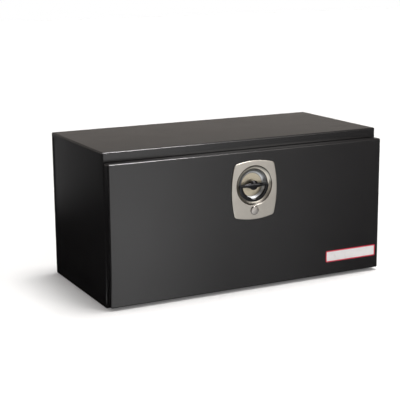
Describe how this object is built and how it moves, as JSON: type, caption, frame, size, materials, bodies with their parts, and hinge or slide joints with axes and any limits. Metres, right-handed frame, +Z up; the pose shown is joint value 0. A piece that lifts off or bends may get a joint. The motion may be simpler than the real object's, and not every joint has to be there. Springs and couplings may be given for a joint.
{
  "type": "underbody truck tool box",
  "caption": "Folded sheet-steel underbody truck tool box with a drop-down door, recessed ring latch, key lock and slotted door stays.",
  "frame": {"origin": "middle of the body's underside, without the door", "axes": "+X to the right along the front, +Y from the door to the back, +Z up"},
  "size_m": [0.9176, 0.4662, 0.4525],
  "materials": {
    "black_paint": "semi-gloss black powder coat",
    "black_rubber": "matt black rubber",
    "zinc_steel": "zinc plated",
    "stainless_steel": "plain stainless",
    "satin_stainless": "satin stainless",
    "bright_chrome": "polished",
    "lock_brass": "turned",
    "badge_white": "gloss white",
    "badge_red": "gloss red"
  },
  "bodies": {
    "body": {"top_panel": "black_paint", "floor_panel": "black_paint", "back_panel": "black_paint", "left_end_panel": "black_paint", "right_end_panel": "black_paint", "left_roof_channel": "black_paint", "right_roof_channel": "black_paint", "left_drain_plug": "black_rubber", "right_drain_plug": "black_rubber", "door_seal": "black_rubber", "striker_plate": "zinc_steel", "left_stay_post": "zinc_steel", "right_stay_post": "zinc_steel", "left_stay_retainer": "zinc_steel", "right_stay_retainer": "zinc_steel", "hinge_leaf_body": "stainless_steel", "hinge_pin": "stainless_steel"},
    "door": {"door_skin": "black_paint", "door_liner": "black_paint", "left_door_channel": "black_paint", "right_door_channel": "black_paint", "hinge_leaf_door": "stainless_steel", "left_stay_tab": "zinc_steel", "right_stay_tab": "zinc_steel", "left_stay_pivot": "zinc_steel", "right_stay_pivot": "zinc_steel", "left_lower_tab_rivet": "zinc_steel", "left_upper_tab_rivet": "zinc_steel", "right_lower_tab_rivet": "zinc_steel", "right_upper_tab_rivet": "zinc_steel", "badge_plate": "badge_white", "badge_rim": "badge_red", "latch_plate": "satin_stainless", "latch_gasket": "black_rubber", "latch_nut_1": "zinc_steel", "latch_nut_2": "zinc_steel", "latch_nut_3": "zinc_steel", "latch_nut_4": "zinc_steel", "spindle_bush": "lock_brass", "lock_case": "satin_stainless", "lock_nut": "zinc_steel", "cover_rivet": "satin_stainless"},
    "stay_left": {"left_stay": "zinc_steel"},
    "stay_right": {"right_stay": "zinc_steel"},
    "handle": {"handle_spindle": "bright_chrome", "ring_pin": "stainless_steel", "lock_disc": "zinc_steel", "spindle_sleeve": "zinc_steel", "latch_pawl": "zinc_steel", "pawl_nut": "zinc_steel"},
    "ring": {"folding_ring": "bright_chrome"},
    "key_plug": {"lock_plug": "lock_brass", "lock_cam": "zinc_steel"},
    "key_cover": {"lock_cover": "satin_stainless"}
  },
  "joints": [
    {"name": "door_hinge", "type": "hinge", "parent": "body", "child": "door", "pos_m": [0, -0.21525, 0.012], "axis": [1, 0, 0], "range_deg": [0, 90]},
    {"name": "left_stay_pivot", "type": "hinge", "parent": "door", "child": "stay_left", "pos_m": [-0.4099, -0.19725, 0.21199], "axis": [-1, 0, 0], "range_deg": [0, 46]},
    {"name": "right_stay_pivot", "type": "hinge", "parent": "door", "child": "stay_right", "pos_m": [0.4099, -0.19725, 0.21199], "axis": [-1, 0, 0], "range_deg": [0, 46]},
    {"name": "handle_turn", "type": "hinge", "parent": "door", "child": "handle", "pos_m": [0.0055, -0.24915, 0.32], "axis": [0, -1, 0], "range_deg": [0, 90]},
    {"name": "ring_fold", "type": "hinge", "parent": "handle", "child": "ring", "pos_m": [0.0055, -0.24415, 0.32], "axis": [-1, 0, 0], "range_deg": [0, 90]},
    {"name": "key_turn", "type": "hinge", "parent": "door", "child": "key_plug", "pos_m": [0.0055, -0.24915, 0.245], "axis": [0, -1, 0], "range_deg": [0, 90]},
    {"name": "cover_swing", "type": "hinge", "parent": "door", "child": "key_cover", "pos_m": [0.0055, -0.24915, 0.2545], "axis": [0, -1, 0], "range_deg": [0, 110]}
  ],
  "couplings": [
    {"joint": "left_stay_pivot", "follows": "door_hinge", "ratio": 0.5},
    {"joint": "right_stay_pivot", "follows": "door_hinge", "ratio": 0.5}
  ]
}
